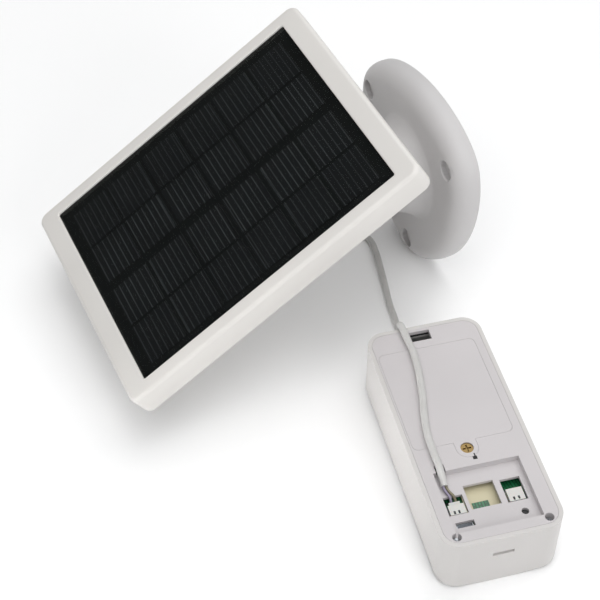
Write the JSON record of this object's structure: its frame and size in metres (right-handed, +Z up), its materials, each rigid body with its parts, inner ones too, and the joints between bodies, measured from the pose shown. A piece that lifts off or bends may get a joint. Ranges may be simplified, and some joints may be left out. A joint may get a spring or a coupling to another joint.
{
  "type": "solar-powered security camera",
  "caption": "Solar panel on a swivelling, tilting wall bracket, with its lead plugged into the back of a slim battery security camera.",
  "frame": {"origin": "centre of the circle through the three wall screws, on the wall plane", "axes": "+Y into the wall, +Z up the wall, +X to the right for someone facing the wall"},
  "size_m": [0.2875, 0.1912, 0.1257],
  "materials": {
    "white_frame": "fine satin moulded ABS",
    "bracket_white": "satin moulded ASA",
    "camera_shell": "satin moulded polycarbonate",
    "camera_cover": "fine matt moulded ABS",
    "panel_glass": "low-iron tempered glass over black film",
    "solar_cell": "monocrystalline silicon",
    "ribbon": "tinned copper ribbon",
    "backing": "black laminate",
    "black_plastic": "black nylon",
    "black_gloss": "polished black acrylic",
    "rubber": "soft EPDM",
    "steel": "zinc-plated steel",
    "brass": "turned brass",
    "lens": "coated optical glass",
    "board": "green solder mask",
    "battery": "blue shrink wrap",
    "connector": "natural nylon",
    "insulator": "ivory polycarbonate sheet",
    "diffuser": "frosted polycarbonate",
    "cable": "pale grey PVC",
    "wire": "PVC insulated wires"
  },
  "bodies": {
    "base": {"wall_base": "bracket_white", "wall_gasket": "rubber", "front_shell": "camera_shell", "housing_seal": "rubber", "rear_cover": "camera_cover", "housing_screws": "steel", "battery_door": "camera_cover", "door_seal": "rubber", "battery_pack": "battery", "battery_contacts": "brass", "main_board": "board", "board_chips": "black_plastic", "call_switch": "black_plastic", "button_ring": "diffuser", "front_window": "black_gloss", "lens_barrel": "black_plastic", "lens_glass": "lens", "sensor_board": "board", "infrared_leds": "diffuser", "motion_lens": "diffuser", "motion_sensor": "steel", "microphone": "steel", "loudspeaker": "black_plastic", "socket_board": "board", "left_socket": "connector", "right_socket": "connector", "insulator": "insulator", "usb_socket": "steel", "lead_plug": "connector", "lead_wires": "wire", "lead_drop": "cable", "lead_run": "cable", "lead_coil": "cable", "coil_tie": "black_plastic"},
    "turret": {"turret": "bracket_white", "arm": "bracket_white", "pivot_screw": "steel", "pivot_washer": "steel", "wave_washer": "steel", "cable_clip": "bracket_white"},
    "panel": {"panel_frame": "white_frame", "panel_glass": "panel_glass", "solar_cells": "solar_cell", "cell_ribbons": "ribbon", "backing_board": "backing", "junction_box": "black_plastic", "panel_gasket": "rubber", "panel_back": "white_frame", "panel_screws": "steel", "tilt_bracket": "bracket_white", "bracket_screws": "steel", "tilt_bolt": "steel", "tilt_nut": "steel", "friction_washers": "black_plastic", "cable_gland": "black_plastic", "arm_lead": "cable"},
    "lock": {"lock_screw": "brass", "lock_cam": "brass"},
    "call_button": {"call_button": "camera_shell"},
    "reset_button": {"reset_button": "black_plastic"}
  },
  "joints": [
    {"name": "swivel", "type": "hinge", "parent": "base", "child": "turret", "pos_m": [0, -0.03, 0], "axis": [0, 1, 0], "range_deg": [-40, 40], "deforming": ["lead_drop"]},
    {"name": "tilt", "type": "hinge", "parent": "turret", "child": "panel", "pos_m": [0, -0.093, 0], "axis": [1, 0, 0], "range_deg": [-24, 30], "deforming": ["arm_lead"]},
    {"name": "lock_turn", "type": "hinge", "parent": "base", "child": "lock", "pos_m": [0.15449, -0.06191, -0.025], "axis": [0, 0, 1], "range_deg": [0, 90]},
    {"name": "call_press", "type": "slide", "parent": "base", "child": "call_button", "axis": [0, 0, 1], "range_m": [0, 0.0008], "stiffness_N_per_m": 900},
    {"name": "reset_press", "type": "slide", "parent": "base", "child": "reset_button", "axis": [0, 0, -1], "range_m": [0, 0.0005], "stiffness_N_per_m": 600}
  ]
}
